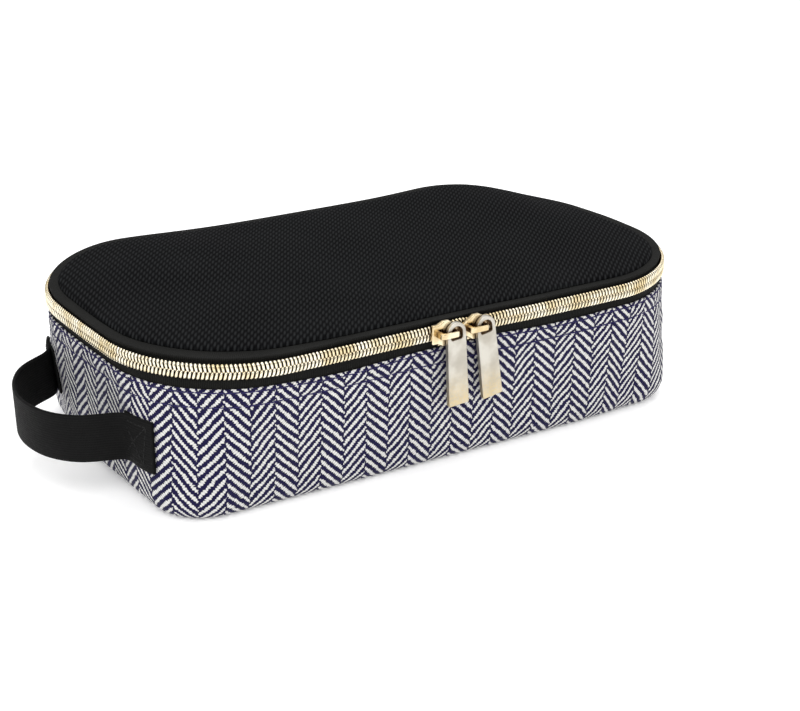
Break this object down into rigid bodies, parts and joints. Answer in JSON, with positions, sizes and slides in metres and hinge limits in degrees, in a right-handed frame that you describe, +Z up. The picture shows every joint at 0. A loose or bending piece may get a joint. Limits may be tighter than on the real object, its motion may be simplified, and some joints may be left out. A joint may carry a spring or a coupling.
{
  "type": "shoe bag",
  "caption": "Low rectangular soft bag with herringbone walls, a domed mesh lid on a zip running round it, two sliders with pulls, and a webbing end handle.",
  "frame": {"origin": "middle of the flat base, on the surface the bag stands on", "axes": "+X along the bag away from the handle, -Y to the front where the sliders are, +Z up"},
  "size_m": [0.2946, 0.1574, 0.0665],
  "materials": {
    "herringbone_cloth": "navy and off-white broken herringbone weave",
    "base_cloth": "navy and off-white broken herringbone weave",
    "foam": "closed-cell foam sheet",
    "lining_cloth": "thin black plain-weave lining",
    "black_binding": "black ribbed binding tape",
    "zip_tape": "black woven zip tape",
    "hinge_cloth": "black plain-weave strip",
    "black_mesh": "black warp-knitted mesh",
    "gold_coil": "light metallised gold coil",
    "gold_cast": "light gold plated casting",
    "gold_pull": "light gold plated, satin face",
    "black_webbing": "black ribbed webbing"
  },
  "bodies": {
    "case": {"side_wall": "herringbone_cloth", "bottom_panel": "base_cloth", "wall_padding": "foam", "base_padding": "foam", "side_lining": "lining_cloth", "bottom_lining": "lining_cloth", "base_binding": "black_binding", "rim_binding": "black_binding", "zip_tape_lower": "zip_tape", "zip_coil_lower": "gold_coil", "zip_end_left": "black_binding", "zip_end_right": "black_binding", "hinge_strip_lower": "hinge_cloth", "handle_end_front": "black_webbing", "handle_end_rear": "black_webbing"},
    "lid": {"hinge_strip_upper": "hinge_cloth", "zip_tape_upper": "zip_tape", "zip_coil_upper": "gold_coil", "lid_mesh": "black_mesh", "lid_binding": "black_binding"},
    "slider_left": {"slider_left": "gold_cast"},
    "slider_right": {"slider_right": "gold_cast"},
    "pull_left": {"pull_left": "gold_pull"},
    "pull_right": {"pull_right": "gold_pull"},
    "handle": {"handle_loop": "black_webbing"}
  },
  "joints": [
    {"name": "lid_hinge", "type": "hinge", "parent": "case", "child": "lid", "pos_m": [0, 0.0762, 0.0588], "axis": [-1, 0, 0], "range_deg": [0, 180]},
    {"name": "slider_left_slide", "type": "slide", "parent": "case", "child": "slider_left", "axis": [-1, 0, 0], "range_m": [0, 0.061]},
    {"name": "slider_right_slide", "type": "slide", "parent": "case", "child": "slider_right", "axis": [1, 0, 0], "range_m": [0, 0.0695]},
    {"name": "pull_left_swing", "type": "hinge", "parent": "slider_left", "child": "pull_left", "pos_m": [-0.00765, -0.0789, 0.0588], "axis": [0, 1, 0], "range_deg": [0, 38]},
    {"name": "pull_right_swing", "type": "hinge", "parent": "slider_right", "child": "pull_right", "pos_m": [0.00665, -0.0789, 0.0588], "axis": [0, -1, 0], "range_deg": [-10, 95]},
    {"name": "handle_lift", "type": "hinge", "parent": "case", "child": "handle", "pos_m": [-0.13, 0, 0.0275], "axis": [0, 1, 0], "range_deg": [-30, 30], "stiffness_Nm_per_rad": 0.03}
  ]
}
